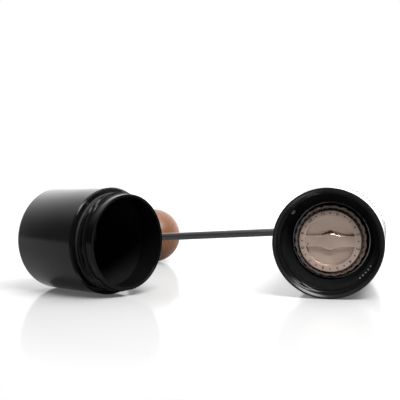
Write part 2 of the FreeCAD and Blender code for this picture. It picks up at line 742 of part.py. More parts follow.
# ---------------------------------------------------------------- the lid
plug_low = body_length - 6.5
seal_level = body_length - 4.0
bush_outside = spigot_radius + 2.05
turned("hopper_lid", on_grinder, [
    (bush_outside + run_gap, body_length - 2.4), (bush_outside + 3.5, body_length - 2.4),
    (bush_outside + 3.5, body_length + 0.6), (plug_radius - 2.5, body_length + 0.6),
    (plug_radius - 2.5, plug_low), (plug_radius - 0.6, plug_low),
    (plug_radius, plug_low + 0.6), (plug_radius, seal_level - 0.8),
    (plug_radius - 1.0, seal_level - 0.8), (plug_radius - 1.0, seal_level + 0.8),
    (plug_radius, seal_level + 0.8), (plug_radius, body_length + 0.1),
    (body_radius - 0.5, body_length + 0.1), (body_radius - 0.1, body_length + 0.5),
    (body_radius - 0.1, lid_top - 0.8), (body_radius - 0.9, lid_top),
    (bush_outside + run_gap, lid_top)])
o_ring("lid_seal", on_grinder, seal_level, plug_radius - 0.28, 0.7)
turned("lid_bush", on_grinder, [
    (spigot_radius + run_gap, body_length - 3.0), (bush_outside + 1.4, body_length - 3.0),
    (bush_outside + 1.4, body_length - 2.45), (bush_outside, body_length - 2.45),
    (bush_outside, lid_top), (spigot_radius + run_gap, lid_top)])


# ---------------------------------------------------------------- the crank
hub_low = hex_start + 1.0
groove_low = body_length - 3.9
groove_high = body_length - 3.1
crank_hub = turned("crank_hub", on_spindle, [
    (0, hub_low), (spigot_radius, hub_low), (spigot_radius, groove_low),
    (spigot_radius - 0.6, groove_low), (spigot_radius - 0.6, groove_high),
    (spigot_radius, groove_high), (spigot_radius, lid_top + 0.1),
    (hub_radius - 0.6, lid_top + 0.1), (hub_radius, lid_top + 0.7),
    (hub_radius, hub_top - 1.0), (hub_radius - 1.0, hub_top), (cap_radius, hub_top),
    (cap_radius, hub_top - 0.9), (0, hub_top - 0.9)])
cut_up(crank_hub, "hex_socket", hub_low - 0.5, shaft_top - hub_low + 0.9,
       lambda sketch: hexagon(sketch, hex_flats + 0.2))
cut_side(crank_hub, "arm_hole", hub_radius - 4.0, hub_radius * 2.0, arm_level,
         arm_radius + fixed_gap, inwards=True)
grub_across = hub_radius - 4.0
cut_up(crank_hub, "grub_hole", arm_level + 1.0, 6.0,
       lambda sketch: circle(sketch, -grub_across, 0.0, grub_radius + fixed_gap))
grub_low = arm_level + arm_radius + fixed_gap
hub_grub_screw = rod("hub_grub_screw", on_spindle * round_axis(grub_across, 180.0, grub_low),
                     grub_radius, hub_top - grub_low - 0.23)
hub_grub_screw.Label = "hub_grub_screw"
pieces.append(hub_grub_screw)
turned("hub_cap", on_spindle, [
    (0, hub_top - 0.9), (cap_radius - run_gap, hub_top - 0.9),
    (cap_radius - run_gap, hub_top - 0.2), (cap_radius - 0.4, hub_top + 0.1), (0, hub_top + 0.1)])
turned("hub_clip", on_spindle, [
    (spigot_radius - 0.56, groove_low + run_gap), (spigot_radius + 1.8, groove_low + run_gap),
    (spigot_radius + 1.8, groove_high - run_gap), (spigot_radius - 0.56, groove_high - run_gap)])

crank_arm = new_body("crank_arm", on_spindle)
arm_section = new_sketch(crank_arm, "section", "YZ_Plane", hub_radius - 4.1)
circle(arm_section, 0.0, arm_level, arm_radius)
arm_rod = crank_arm.newObject("PartDesign::Pad", "crank_arm_rod")
arm_rod.Profile = arm_section
bind(arm_rod, "Length", crank_length + hub_radius - 4.1)
arm_rod.Reversed = True
crank_arm.Tip = arm_rod
raised(crank_arm, "eye", eye_low, eye_height,
       lambda sketch: circle(sketch, -crank_length, 0.0, eye_radius))
cut_up(crank_arm, "axle_hole", eye_low - 0.5, eye_height + 1.0,
       lambda sketch: circle(sketch, -crank_length, 0.0, axle_radius + fixed_gap))

# The pin the knob turns on: riveted into the eye of the arm, a screw at its far end.
head_low = knob_end - 2.5
turned("knob_axle", on_knob, [
    (0, eye_low - 0.5), (axle_radius + 1.4, eye_low - 0.5),
    (axle_radius + 1.4, eye_low - fixed_gap), (axle_radius, eye_low - fixed_gap),
    (axle_radius, eye_high + fixed_gap), (axle_radius + 2.0, eye_high + fixed_gap),
    (axle_radius + 2.0, eye_high + 0.8), (axle_radius, eye_high + 0.8),
    (axle_radius, head_low - run_gap), (0, head_low - run_gap)])
screw_radius = axle_radius + 2.8
knob_screw = turned("knob_screw", on_knob, [
    (0, head_low - fixed_gap), (screw_radius, head_low - fixed_gap),
    (screw_radius, knob_end - 0.9), (screw_radius - 0.6, knob_end - 0.4), (0, knob_end - 0.4)])
cut_up(knob_screw, "driver_hole", knob_end - 1.6, 3.0, lambda sketch: hexagon(sketch, 3.0))
washer_levels = (eye_high + 0.85, head_low - 0.45)
washers = []
for start in washer_levels:
    washers.append([(axle_radius + run_gap, start), (screw_radius - 0.2, start),
                    (screw_radius - 0.2, start + 0.35), (axle_radius + run_gap, start + 0.35)])
turned("knob_washers", on_knob, *washers)


# ---------------------------------------------------------------- the knob
# A neck and a ball with its far end cut flat, turned from one sketch with one arc.
bore = bush_radius + run_gap
pocket = screw_radius + 0.8
pocket_floor = knob_end - 3.0
crank_knob = new_body("crank_knob", on_knob)
knob_section = new_sketch(crank_knob, "section", "XZ_Plane")
join = math.sqrt(knob_radius.value ** 2 - knob_neck.value ** 2)
rise = knob_end.value - knob_level.value
crown = math.sqrt(knob_radius.value ** 2 - rise ** 2)
corners = [(bore, knob_base), (knob_neck - 1.0, knob_base), (knob_neck, knob_base + 1.0),
           (knob_neck, size(knob_level.value - join)), (size(crown), knob_end),
           (pocket, knob_end), (pocket, pocket_floor), (bore, pocket_floor)]
points = [Vector(across.value, up.value, 0) for across, up in corners]
edges = []
for index, point in enumerate(points):
    following = points[(index + 1) % len(points)]
    if index == 3:
        whole_ball = Part.Circle(Vector(0, knob_level.value, 0), Vector(0, 0, 1),
                                 knob_radius.value)
        shape = Part.ArcOfCircle(whole_ball, math.atan2(-join, knob_neck.value),
                                 math.atan2(rise, crown))
    else:
        shape = Part.LineSegment(point, following)
    edges.append(knob_section.addGeometry(shape, False))
for index, edge in enumerate(edges):
    previous = edges[index - 1]
    knob_section.addConstraint(Sketcher.Constraint("Coincident", previous, 2, edge, 1))
ball_arc = edges[3]
tie(knob_section, "DistanceX", (-1, 1, ball_arc, 3), size(0.0))
tie(knob_section, "DistanceY", (-1, 1, ball_arc, 3), knob_level)
tie(knob_section, "Radius", (ball_arc,), knob_radius)
for index, edge in enumerate(edges):
    across, up = corners[index]
    if index != 4:
        tie(knob_section, "DistanceX", (-1, 1, edge, 1), across)
    if index != 3:
        tie(knob_section, "DistanceY", (-1, 1, edge, 1), up)
knob_turning = crank_knob.newObject("PartDesign::Revolution", "crank_knob_turning")
knob_turning.Profile = knob_section
knob_turning.ReferenceAxis = (knob_section, ["V_Axis"])
knob_turning.Angle = 360.0
crank_knob.Tip = knob_turning

bushes = []
for start in (knob_base, pocket_floor - 8.0):
    bushes.append([(axle_radius + run_gap, start), (bush_radius, start),
                   (bush_radius, start + 8.0), (axle_radius + run_gap, start + 8.0)])
turned("knob_bushes", on_knob, *bushes)


# ---------------------------------------------------------------- the cup
neck_end = cup_length + neck_length
pad_radius = body_radius - 6.8
cup = [(0, 1.6), (pad_radius, 1.6), (pad_radius, 0), (body_radius - 2.6, 0),
       (body_radius - 1.1, 0.45), (body_radius - 0.35, 1.2), (body_radius, 2.6),
       (body_radius, cup_length - 0.7), (body_radius - 0.7, cup_length),
       (neck_radius - 0.8, cup_length), (neck_radius - 0.8, cup_length + 2.0),
       (neck_radius, cup_length + 2.0)]
for turn in range(3):
    start = cup_length + thread_pitch * turn + 3.2
    cup += [(neck_radius, start), (neck_crest, start + 0.5), (neck_crest, start + 1.0),
            (neck_radius, start + 1.5)]
cup += [(neck_radius, neck_end - 0.4), (neck_radius - 0.4, neck_end),
        (cup_bore + 0.2, neck_end), (cup_bore, neck_end - 0.4), (cup_bore, cup_length),
        (cup_belly, cup_length - 4.0), (cup_belly, 6.6), (cup_belly - 1.0, 4.2),
        (cup_belly - 3.4, 3.2), (0, 3.2)]
turned("catch_cup", on_cup, cup)
o_ring("cup_seal", on_cup, cup_length + 1.0, neck_radius + 0.02, 0.8)
turned("cup_base_pad", on_cup, [(0, 0.05), (pad_radius - 0.1, 0.05),
                                (pad_radius - 0.1, 1.55), (0, 1.55)])


# ---------------------------------------------------------------- check and write out
doc.recompute()
faults = []
for item in doc.Objects:
    if "Invalid" in item.State or "Error" in item.State:
        faults.append(item.Name + " " + str(item.State))
for piece in pieces:
    if piece.Shape.isNull() or not piece.Shape.isValid():
        faults.append(piece.Label + " has no sound shape")
if faults:
    raise RuntimeError("; ".join(faults))
for piece in pieces:
    piece.Shape.exportStep("parts/" + piece.Label + ".step")
print("wrote", len(pieces), "pieces")
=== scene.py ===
# %% [markdown]
# # A hand crank coffee grinder
# The grinder lies on its side. Its cup is unscrewed and lies beside it, and the crank is swung
# out so that its wooden knob rests on the table. The engineering model is loaded first and is
# never moved: every piece made here is put where that model says, and rides on one of its bodies.

# %% The frame
import json
import math

import bmesh
import bpy
import numpy as np
from mathutils import Matrix, Vector


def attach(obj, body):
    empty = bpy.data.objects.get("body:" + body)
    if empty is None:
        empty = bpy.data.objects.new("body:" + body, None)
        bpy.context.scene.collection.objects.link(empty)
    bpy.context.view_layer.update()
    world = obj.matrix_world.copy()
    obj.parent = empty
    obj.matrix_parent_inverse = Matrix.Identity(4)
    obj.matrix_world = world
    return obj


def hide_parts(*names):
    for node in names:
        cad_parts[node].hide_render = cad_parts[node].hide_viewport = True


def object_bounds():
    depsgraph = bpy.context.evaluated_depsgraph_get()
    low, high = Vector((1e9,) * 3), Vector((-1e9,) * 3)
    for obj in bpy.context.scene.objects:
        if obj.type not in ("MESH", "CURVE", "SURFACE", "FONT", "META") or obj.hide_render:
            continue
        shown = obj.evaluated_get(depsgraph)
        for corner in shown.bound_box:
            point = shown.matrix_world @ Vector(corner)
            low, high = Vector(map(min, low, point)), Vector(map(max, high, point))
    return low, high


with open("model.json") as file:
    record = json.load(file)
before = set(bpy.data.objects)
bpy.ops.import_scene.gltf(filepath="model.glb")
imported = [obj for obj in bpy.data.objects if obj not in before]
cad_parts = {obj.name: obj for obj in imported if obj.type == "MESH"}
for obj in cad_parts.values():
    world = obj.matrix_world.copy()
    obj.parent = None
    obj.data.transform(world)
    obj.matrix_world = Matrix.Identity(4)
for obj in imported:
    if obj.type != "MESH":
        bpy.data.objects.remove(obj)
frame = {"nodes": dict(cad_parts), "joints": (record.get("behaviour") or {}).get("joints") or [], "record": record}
cad_low, cad_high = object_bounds()
MM = 0.001
print("model box in mm:", [round(x / MM, 1) for x in (*cad_low, *cad_high)])

# %% [markdown]
# ## Where things lie
# Nearly every piece is turned on a lathe, so each is drawn upright on its own Z axis and then
# laid over. The grinder, the crank, the knob and the cup each have such a resting place. The
# joints and mounts of the model say where those axes are.

# %% Resting places
joints = {joint["name"]: joint for joint in frame["joints"]}
mounts = {mount["name"]: mount for mount in frame["record"]["mounts"]}
knob_axis = Vector(joints["knob_spin"]["pos_m"])
cup_way = Vector(mounts["cup_neck"]["axis"])
neck_point = Vector(mounts["cup_neck"]["pos_m"])
base_point = Vector(mounts["cup_base"]["pos_m"])
cup_foot = neck_point + cup_way * (base_point - neck_point).dot(cup_way)
crank_drop = math.atan2(-knob_axis.z, -knob_axis.x)

on_grinder = Matrix.Rotation(math.radians(-90.0), 4, "X")
on_crank = on_grinder @ Matrix.Rotation(-crank_drop, 4, "Z")
on_knob = Matrix.Translation((knob_axis.x, 0.0, knob_axis.z)) @ on_crank
on_cup = Matrix.Translation(cup_foot) @ cup_way.to_track_quat("Z", "Y").to_matrix().to_4x4()
print("the crank drops by", round(math.degrees(crank_drop), 2), "degrees")


# %% Measuring a node of the model
def span(name, place):
    """Inner and outer radius and lowest and highest level of a node on its own axis, in mm."""
    points = np.array([place.inverted() @ corner.co for corner in frame["nodes"][name].data.vertices])
    radii = np.hypot(points[:, 0], points[:, 1]) / MM
    levels = points[:, 2] / MM
    return radii.min(), radii.max(), levels.min(), levels.max()


_, body_radius, _, body_length = span("body_tube", on_grinder)
_, _, carrier_face, _ = span("burr_carrier", on_grinder)
print("tube", round(body_radius, 2), "by", round(body_length, 2), "mm, flange at", round(carrier_face, 2))


# %% [markdown]
# ## Turning a piece
# A lathe piece is one closed outline carried round an axis. Real turned edges are never perfectly
# sharp, and it is the small round on an edge that catches the light, so `eased` rounds the corners
# of an outline first. A `wave` may then push the surface in and out as it goes round, which is how
# the knurling, the threads and the scalloped rim are made as real shape.

# %% Easing corners
ARC_STEPS = 4


def eased(corners, ease=0.15):
    """A closed outline with its corners rounded; a third number on a corner is its own radius."""
    points = []
    for index, corner in enumerate(corners):
        here = Vector(corner[:2])
        before = Vector(corners[index - 1][:2]) - here
        after = Vector(corners[(index + 1) % len(corners)][:2]) - here
        radius = corner[2] if len(corner) > 2 else ease
        if radius <= 0.0 or here.x <= 0.0 or before.angle(after) > math.radians(176.0):
            points.append(tuple(here))
            continue
        cut = min(radius / math.tan(before.angle(after) / 2.0), before.length * 0.45, after.length * 0.45)
        start = here + before.normalized() * cut
        end = here + after.normalized() * cut
        for step in range(ARC_STEPS + 1):
            share = step / ARC_STEPS
            points.append(tuple(start.lerp(here, share).lerp(here.lerp(end, share), share)))
    return points


def rows(radius, start, end, spacing):
    """Evenly spaced outline points along the axis, for a stretch that a wave will shape."""
    count = max(2, round(abs(end - start) / spacing) + 1)
    return [(radius, level, 0.0) for level in np.linspace(start, end, count)]


# %% From outline to mesh
SHARP = math.radians(38.0)


def finished_mesh(name, build, place, body, nodes=()):
    """Clean a bmesh, mark its sharp edges, and set the piece on its body of the model."""
    bmesh.ops.remove_doubles(build, verts=build.verts, dist=1e-7)
    bmesh.ops.delete(build, geom=[edge for edge in build.edges if not edge.link_faces], context="EDGES")
    bmesh.ops.recalc_face_normals(build, faces=build.faces)
    for edge in build.edges:
        edge.smooth = len(edge.link_faces) == 2 and edge.calc_face_angle(0.0) < SHARP
    for face in build.faces:
        face.smooth = True
    mesh = bpy.data.meshes.new(name)
    build.to_mesh(mesh)
    build.free()
    piece = bpy.data.objects.new(name, mesh)
    bpy.context.scene.collection.objects.link(piece)
    piece.matrix_world = place
    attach(piece, body)
    if nodes:
        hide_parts(*nodes)
    print(name, len(mesh.polygons), "faces")
    return piece


def turned(name, outline, place, body, nodes=(), steps=160, wave=None):
    """Carry a closed outline, in mm, round the Z axis; wave(angle, radius, level) moves the radius."""
    radii, levels = np.array([point[:2] for point in outline], dtype=float).T
    count = len(radii)
    angles = np.linspace(0.0, math.tau, steps, endpoint=False)
    angle_grid, radius_grid = np.meshgrid(angles, radii, indexing="ij")
    level_grid = np.broadcast_to(levels, radius_grid.shape)
    if wave:
        radius_grid = radius_grid + wave(angle_grid, radius_grid, level_grid)
    points = np.stack([radius_grid * np.cos(angle_grid), radius_grid * np.sin(angle_grid), level_grid],
                      axis=-1)
    build = bmesh.new()
    corners = [build.verts.new(point) for point in points.reshape(-1, 3) * MM]
    for step in range(steps):
        this_row = step * count
        next_row = (step + 1) % steps * count
        for index in range(count):
            following = (index + 1) % count
            build.faces.new((corners[this_row + index], corners[this_row + following],
                             corners[next_row + following], corners[next_row + index]))
    return finished_mesh(name, build, place, body, nodes)


# %% [markdown]
# ## Finishes
# Each finish is a small network of shader nodes. One short helper adds a node: an input that is
# given another node's output is linked to it, and a plain value is typed in.

# %% A node helper
def node(tree, kind, inputs=None, **options):
    """Add one shader node and fill in its inputs."""
    made = tree.nodes.new("ShaderNode" + kind)
    for option, value in options.items():
        setattr(made, option, value)
    for socket, value in (inputs or {}).items():
        if isinstance(value, bpy.types.NodeSocket):
            tree.links.new(value, made.inputs[socket])
        else:
            made.inputs[socket].default_value = value
    return made


def new_finish(name, **values):
    """A material with a bare shader; uniform values go straight onto the shader's sockets."""
    material = bpy.data.materials.new(name)
    material.use_nodes = True
    tree = material.node_tree
    shader = tree.nodes["Principled BSDF"]
    for socket, value in values.items():
        shader.inputs[socket.replace("_", " ")].default_value = value
    return material, tree, shader


def places(tree, stretch=(1.0, 1.0, 1.0)):
    """The piece's own coordinates in mm, stretched for grain."""
    coordinates = node(tree, "TexCoord").outputs["Object"]
    scale = [1.0 / MM * part for part in stretch]
    return node(tree, "Mapping", {"Vector": coordinates, "Scale": scale}).outputs["Vector"]


def speckle(tree, where, scale, detail=3.0):
    """Noise of about one feature per `1 / scale` mm."""
    return node(tree, "TexNoise", {"Vector": where, "Scale": scale, "Detail": detail}).outputs["Fac"]


def between(tree, factor, low, high, start=0.0, end=1.0):
    """A value that runs from low to high as the factor runs from start to end."""
    inputs = {"Value": factor, "From Min": start, "From Max": end, "To Min": low, "To Max": high}
    return node(tree, "MapRange", inputs).outputs["Result"]


def blend_colours(tree, factor, low, high):
    """A colour between two others."""
    ramp = node(tree, "ValToRGB", {"Fac": factor})
    ramp.color_ramp.elements[0].color = (*low, 1.0)
    ramp.color_ramp.elements[1].color = (*high, 1.0)
    return ramp.outputs["Color"]


def relief(tree, shader, height, depth):
    """Bump from a height between 0 and 1; depth is in mm."""
    bump = node(tree, "Bump", {"Height": height, "Distance": depth * MM, "Strength": 1.0})
    tree.links.new(bump.outputs["Normal"], shader.inputs["Normal"])


# %% [markdown]
# ### Anodised aluminium
# Anodising leaves a very fine, even grain. The colour barely changes over the piece, but the
# gloss does: handling polishes it in patches, and edges wear a little lighter. Pointiness finds
# the convex edges, so wear shows only where a hand or a table would rub.

# %% Anodised finishes
BARE_EDGE = (0.35, 0.34, 0.33, 1.0)


def anodised(name, dark, light, gloss, rough, grain_depth, grain_scale=6.0, edge=0.0, **values):
    """Dyed, anodised aluminium: fine grain, patchy gloss and slightly worn edges."""
    material, tree, shader = new_finish(name, **values)
    where = places(tree)
    patches = speckle(tree, where, 0.07, 4.0)
    grain = speckle(tree, where, grain_scale, 2.0)
    colour = blend_colours(tree, patches, dark, light)
    if edge > 0.0:
        convex = node(tree, "NewGeometry").outputs["Pointiness"]
        worn = between(tree, convex, 0.0, edge, 0.53, 0.62)
        patchy = speckle(tree, where, 0.8)
        broken = node(tree, "Math", {0: worn, 1: patchy}, operation="MULTIPLY").outputs[0]
        mixed = node(tree, "Mix", {"Factor": broken, "A": colour, "B": BARE_EDGE}, data_type="RGBA")
        colour = mixed.outputs["Result"]
    tree.links.new(colour, shader.inputs["Base Color"])
    tree.links.new(between(tree, patches, gloss, rough, 0.3, 0.7), shader.inputs["Roughness"])
    relief(tree, shader, grain, grain_depth)
    return material


finishes = {}
finishes["black_anodised"] = anodised("black_anodised", (0.005, 0.005, 0.005), (0.009, 0.008, 0.008),
                                      0.18, 0.24, 0.002, edge=0.12, Specular_IOR_Level=0.14)
finishes["black_gloss"] = anodised("black_gloss", (0.0015, 0.0015, 0.0016), (0.003, 0.003, 0.003),
                                   0.12, 0.18, 0.001, edge=0.04, Specular_IOR_Level=0.07)
finishes["black_cut"] = anodised("black_cut", (0.004, 0.004, 0.004), (0.007, 0.007, 0.007),
                                 0.18, 0.24, 0.001, Specular_IOR_Level=0.12)
finishes["black_arm"] = anodised("black_arm", (0.010, 0.010, 0.010), (0.016, 0.016, 0.016),
                                 0.24, 0.32, 0.004, edge=0.15, Specular_IOR_Level=0.5)
finishes["bridge_grey"] = anodised("bridge_grey", (0.05, 0.05, 0.055), (0.08, 0.08, 0.085),
                                   0.35, 0.45, 0.010)
print(sorted(finishes))


# %% [markdown]
# ### Bare and plated metal
# Machined metal keeps the path of the tool as fine rings round the axis it was turned on. The
# rings come from the distance to the axis, with a little noise so that they are not perfect.

# %% Machined finishes
def machined(name, dark, light, gloss, rough, ring_depth, axis="Z", **values):
    """Metal with fine tool rings round its axis and faint smudges."""
    material, tree, shader = new_finish(name, Metallic=1.0, **values)
    where = places(tree)
    flat = {"Z": (1.0, 1.0, 0.0), "Y": (1.0, 0.0, 1.0)}[axis]
    across = node(tree, "VectorMath", {0: where, 1: flat}, operation="MULTIPLY").outputs["Vector"]
    radius = node(tree, "VectorMath", {0: across}, operation="LENGTH").outputs["Value"]
    ring_place = node(tree, "CombineXYZ", {"X": radius}).outputs["Vector"]
    rings = node(tree, "TexNoise", {"Vector": ring_place, "Scale": 7.0, "Detail": 4.0}).outputs["Fac"]
    smudge = speckle(tree, where, 0.15, 5.0)
    tree.links.new(blend_colours(tree, smudge, dark, light), shader.inputs["Base Color"])
    tree.links.new(between(tree, smudge, gloss, rough, 0.3, 0.7), shader.inputs["Roughness"])
    relief(tree, shader, rings, ring_depth)
    return material


finishes["dial_metal"] = machined("dial_metal", (0.48, 0.372, 0.312), (0.58, 0.450, 0.378),
                                  0.42, 0.50, 0.006)
finishes["dial_rim_metal"] = machined("dial_rim_metal", (0.24, 0.184, 0.157), (0.32, 0.246, 0.209),
                                      0.40, 0.50, 0.006)
# A lighter, glossier copy of the dial metal, used only on the bar's upward slopes: a painted highlight.
finishes["painted_glint_metal"] = machined("painted_glint_metal", (0.62, 0.49, 0.42), (0.72, 0.58, 0.50), 0.10, 0.14, 0.001)
finishes["steel"] = machined("steel", (0.50, 0.50, 0.51), (0.60, 0.60, 0.61), 0.22, 0.36, 0.004, "Y")
finishes["burr_steel"] = machined("burr_steel", (0.40, 0.40, 0.41), (0.52, 0.52, 0.53),
                                  0.24, 0.40, 0.006, "Y")
finishes["polished_steel"] = machined("polished_steel", (0.62, 0.62, 0.63), (0.70, 0.70, 0.71),
                                      0.06, 0.14, 0.001, "Y")
finishes["brass"] = machined("brass", (0.66, 0.47, 0.20), (0.76, 0.56, 0.27), 0.22, 0.36, 0.004, "Y")
finishes["sleeve_aluminium"] = machined("sleeve_aluminium", (0.62, 0.62, 0.63), (0.72, 0.72, 0.73),
                                        0.28, 0.42, 0.006, "Y")


# %% [markdown]
# ### Rubber, plastic and paint
# These are not metal. What tells them apart is gloss and grain: moulded rubber is dull and
# slightly dusty, the bush plastic is waxy, and the paint marks are thick enough to have a skin.

# %% Soft and painted finishes
def moulded(name, dark, light, gloss, rough, grain_depth, grain_scale, **values):
    """Moulded plastic, rubber or paint: mottled colour over a fine grain."""
    material, tree, shader = new_finish(name, **values)
    where = places(tree)
    mottle = speckle(tree, where, 0.9, 4.0)
    tree.links.new(blend_colours(tree, mottle, dark, light), shader.inputs["Base Color"])
    tree.links.new(between(tree, mottle, gloss, rough), shader.inputs["Roughness"])
    relief(tree, shader, speckle(tree, where, grain_scale, 2.0), grain_depth)
    return material


finishes["black_rubber"] = moulded("black_rubber", (0.004, 0.004, 0.004), (0.009, 0.009, 0.009),
                                   0.60, 0.80, 0.020, 4.0, Specular_IOR_Level=0.2)
finishes["dull_black"] = moulded("dull_black", (0.003, 0.003, 0.003), (0.007, 0.007, 0.007),
                                 0.70, 0.90, 0.020, 4.0, Specular_IOR_Level=0.0)
finishes["bush_plastic"] = moulded("bush_plastic", (0.62, 0.60, 0.54), (0.70, 0.68, 0.62),
                                   0.35, 0.50, 0.006, 3.0, Subsurface_Weight=0.05)
finishes["mark_paint"] = moulded("mark_paint", (0.11, 0.115, 0.095), (0.20, 0.205, 0.175),
                                 0.40, 0.55, 0.010, 5.0)
finishes["dial_ink"] = moulded("dial_ink", (0.012, 0.010, 0.010), (0.030, 0.026, 0.024),
                               0.55, 0.70, 0.010, 5.0)


# %% [markdown]
# ### Oiled wood
# The knob is turned from a block, so the growth rings of the tree pass straight through it. They
# come from one stretched, wandering band pattern in space, not from a skin wrapped round the
# ball, so the end of the knob shows end grain and its sides show long grain. Short dark pores
# run with the grain, and a thin coat of oil gives the soft shine.

# %% Wood finish
def turned_wood(name):
    """Oiled hardwood: growth rings, fibres and pores along the Z axis, under a thin oil coat."""
    material, tree, shader = new_finish(name, Coat_Weight=0.1, Coat_Roughness=0.3, Specular_IOR_Level=0.3)
    along = places(tree, (1.0, 1.0, 0.12))
    bend = node(tree, "TexNoise", {"Vector": along, "Scale": 0.05, "Detail": 2.0}).outputs["Color"]
    push = node(tree, "VectorMath", {0: bend, 1: (9.0, 9.0, 9.0)}, operation="MULTIPLY").outputs["Vector"]
    shifted = node(tree, "VectorMath", {0: along, 1: push}, operation="ADD").outputs["Vector"]
    rings = node(tree, "TexWave", {"Vector": shifted, "Scale": 0.16, "Distortion": 2.0, "Detail": 3.0,
                                   "Detail Scale": 1.5}, bands_direction="X").outputs["Fac"]
    fibres = speckle(tree, places(tree, (1.0, 1.0, 0.05)), 3.2, 4.0)
    pores = speckle(tree, places(tree, (1.0, 1.0, 0.08)), 5.5, 1.0)
    wood = blend_colours(tree, rings, (0.088, 0.028, 0.008), (0.112, 0.038, 0.012))
    streaks = between(tree, fibres, 0.84, 1.10, 0.3, 0.7)
    fibred = node(tree, "VectorMath", {0: wood, "Scale": streaks}, operation="SCALE").outputs["Vector"]
    open_pore = between(tree, pores, 1.0, 0.0, 0.30, 0.36)
    pored = node(tree, "Mix", {"Factor": open_pore, "A": fibred, "B": (0.070, 0.025, 0.012, 1.0)},
                 data_type="RGBA")
    tree.links.new(pored.outputs["Result"], shader.inputs["Base Color"])
    tree.links.new(between(tree, fibres, 0.38, 0.56), shader.inputs["Roughness"])
    height = node(tree, "Math", {0: fibres, 1: open_pore}, operation="SUBTRACT").outputs[0]
    relief(tree, shader, height, 0.02)
    return material


finishes["knob_wood"] = turned_wood("knob_wood")
for name in ("black_anodised", "knob_wood"):
    print(name, "has", len(finishes[name].node_tree.nodes), "nodes")


# %% [markdown]
# ## The model's own parts
# Bearings, burrs, screws and seals already have their true shape, so they stay as they are and
# only take a finish. The record says which finish each of them has.

# %% Finishes on the model's parts
for entry in frame["record"]["subparts"]:
    part = frame["nodes"][entry["node"]]
    part.data.materials.clear()
    part.data.materials.append(finishes[entry["material_slot"]])
print(len(frame["nodes"]), "parts finished")


def coat(piece, *names):
    """Give a piece its finishes; the first covers it all."""
    for name in names:
        piece.data.materials.append(finishes[name])


# %% [markdown]
# ## The tube
# The body is one aluminium tube. Its outside carries a grip band: two sets of shallow grooves
# lean opposite ways and leave flat diamonds between them, so the height at a point is the lower
# of two triangle waves, cut off flat just under the tube's own radius. The cup screws into its
# open end, so the inside has a real single-start thread: a ridge that moves along by one pitch for
# each turn and runs out at both ends. The chamfer at the mouth has a finish of its own, a little
# brighter than the bore's.

# %% Knurl and thread waves
SOCKET_WALL = 2.0
SOCKET_ROOT = body_radius - SOCKET_WALL
SOCKET_CREST = mounts["cup_socket"]["dims"]["r_mm"]
THREAD_PITCH = 3.0
RIDGE_HALF = 0.2
RIDGE_FLANK = 0.16
KNURL_DEPTH = 0.4
KNURL_COUNT = 40
LAND_SHARE = 0.3
ON_SURFACE = 0.01
THREAD_START = 1.6
THREAD_END = 11.6
knurl_start = 28.0
knurl_end = body_length - 26.0
knurl_pitch = math.tau * body_radius / KNURL_COUNT
print("knurl pitch", round(knurl_pitch, 2), "mm")


def triangle(turns):
    """A triangle wave: 0 at whole turns and 1 half way between."""
    return 1.0 - np.abs(2.0 * (turns - np.floor(turns)) - 1.0)


def thread(angle, level, start, end):
    """The height of a helical ridge, from 0 to 1, that fades out over half a pitch at both ends."""
    turns = (level - start) / THREAD_PITCH - angle / math.tau
    ridge = np.clip((RIDGE_HALF - np.abs(turns - np.round(turns))) / RIDGE_FLANK, 0.0, 1.0)
    fade_in = np.clip((level - start) / THREAD_PITCH * 2.0, 0.0, 1.0)
    fade_out = np.clip((end - level) / THREAD_PITCH * 2.0, 0.0, 1.0)
    return ridge * fade_in * fade_out


def tube_wave(angle, radius, level):
    """Knurling on the outside of the tube and the thread inside its open end."""
    around = angle / math.tau * KNURL_COUNT
    along = (level - knurl_start) / knurl_pitch
    lowest = np.minimum(triangle(around + along), triangle(around - along))
    diamonds = np.clip(lowest / LAND_SHARE, 0.0, 1.0)
    in_band = np.abs(radius - body_radius + KNURL_DEPTH) < ON_SURFACE
    in_band = in_band & (level > knurl_start) & (level < knurl_end)
    in_socket = (np.abs(radius - SOCKET_ROOT) < ON_SURFACE) & (level < carrier_face)
    ridge = thread(angle, level, THREAD_START, THREAD_END)
    return in_band * diamonds * KNURL_DEPTH * 0.95 - in_socket * ridge * (SOCKET_ROOT - SOCKET_CREST)


# %% The tube
body_bore = span("hopper_collar", on_grinder)[1] + 0.06
MOUTH_FLARE = 1.1
MOUTH_DEPTH = 0.8
lip = carrier_face - 1.0
band = body_radius - KNURL_DEPTH
tube_outline = [(body_radius, 0.0, 0.5), (body_radius, knurl_start - 0.1, 0.1)]
tube_outline += rows(band, knurl_start + 0.4, knurl_end - 0.4, knurl_pitch / 9.0)
tube_outline += [(body_radius, knurl_end + 0.1, 0.1), (body_radius, body_length, 0.7),
                 (body_bore, body_length, 0.4), (body_bore, carrier_face, 0.0),
                 (SOCKET_CREST, carrier_face, 0.2), (SOCKET_CREST, lip, 0.2)]
tube_outline += rows(SOCKET_ROOT, lip - 0.05, MOUTH_DEPTH, 0.22)
tube_outline += [(SOCKET_ROOT + MOUTH_FLARE, 0.0, 0.1)]
tube_shell = turned("tube_shell", eased(tube_outline), on_grinder, "body",
                    ("body_tube",), steps=360, wave=tube_wave)
coat(tube_shell, "black_anodised", "black_gloss", "black_cut")
socket_end = carrier_face + 0.5
chamfer_start = SOCKET_ROOT + 0.1
for face in tube_shell.data.polygons:
    middle = face.center / MM
    radius = math.hypot(middle.x, middle.y)
    in_socket = radius < SOCKET_ROOT + MOUTH_FLARE and middle.z < socket_end
    face.material_index = int(in_socket) + int(in_socket and radius > chamfer_start)
print("mouth chamfer", round(MOUTH_FLARE, 2), "mm wide")


# %% [markdown]
# ## The carrier
# The flange round the dial shows through the open socket, and its face is polished. Behind it, the
# throat that the ground coffee falls through is left dull. The engineering model's own mesh is right
# already, so it only takes two finishes, and each face is given one by how deep it lies.

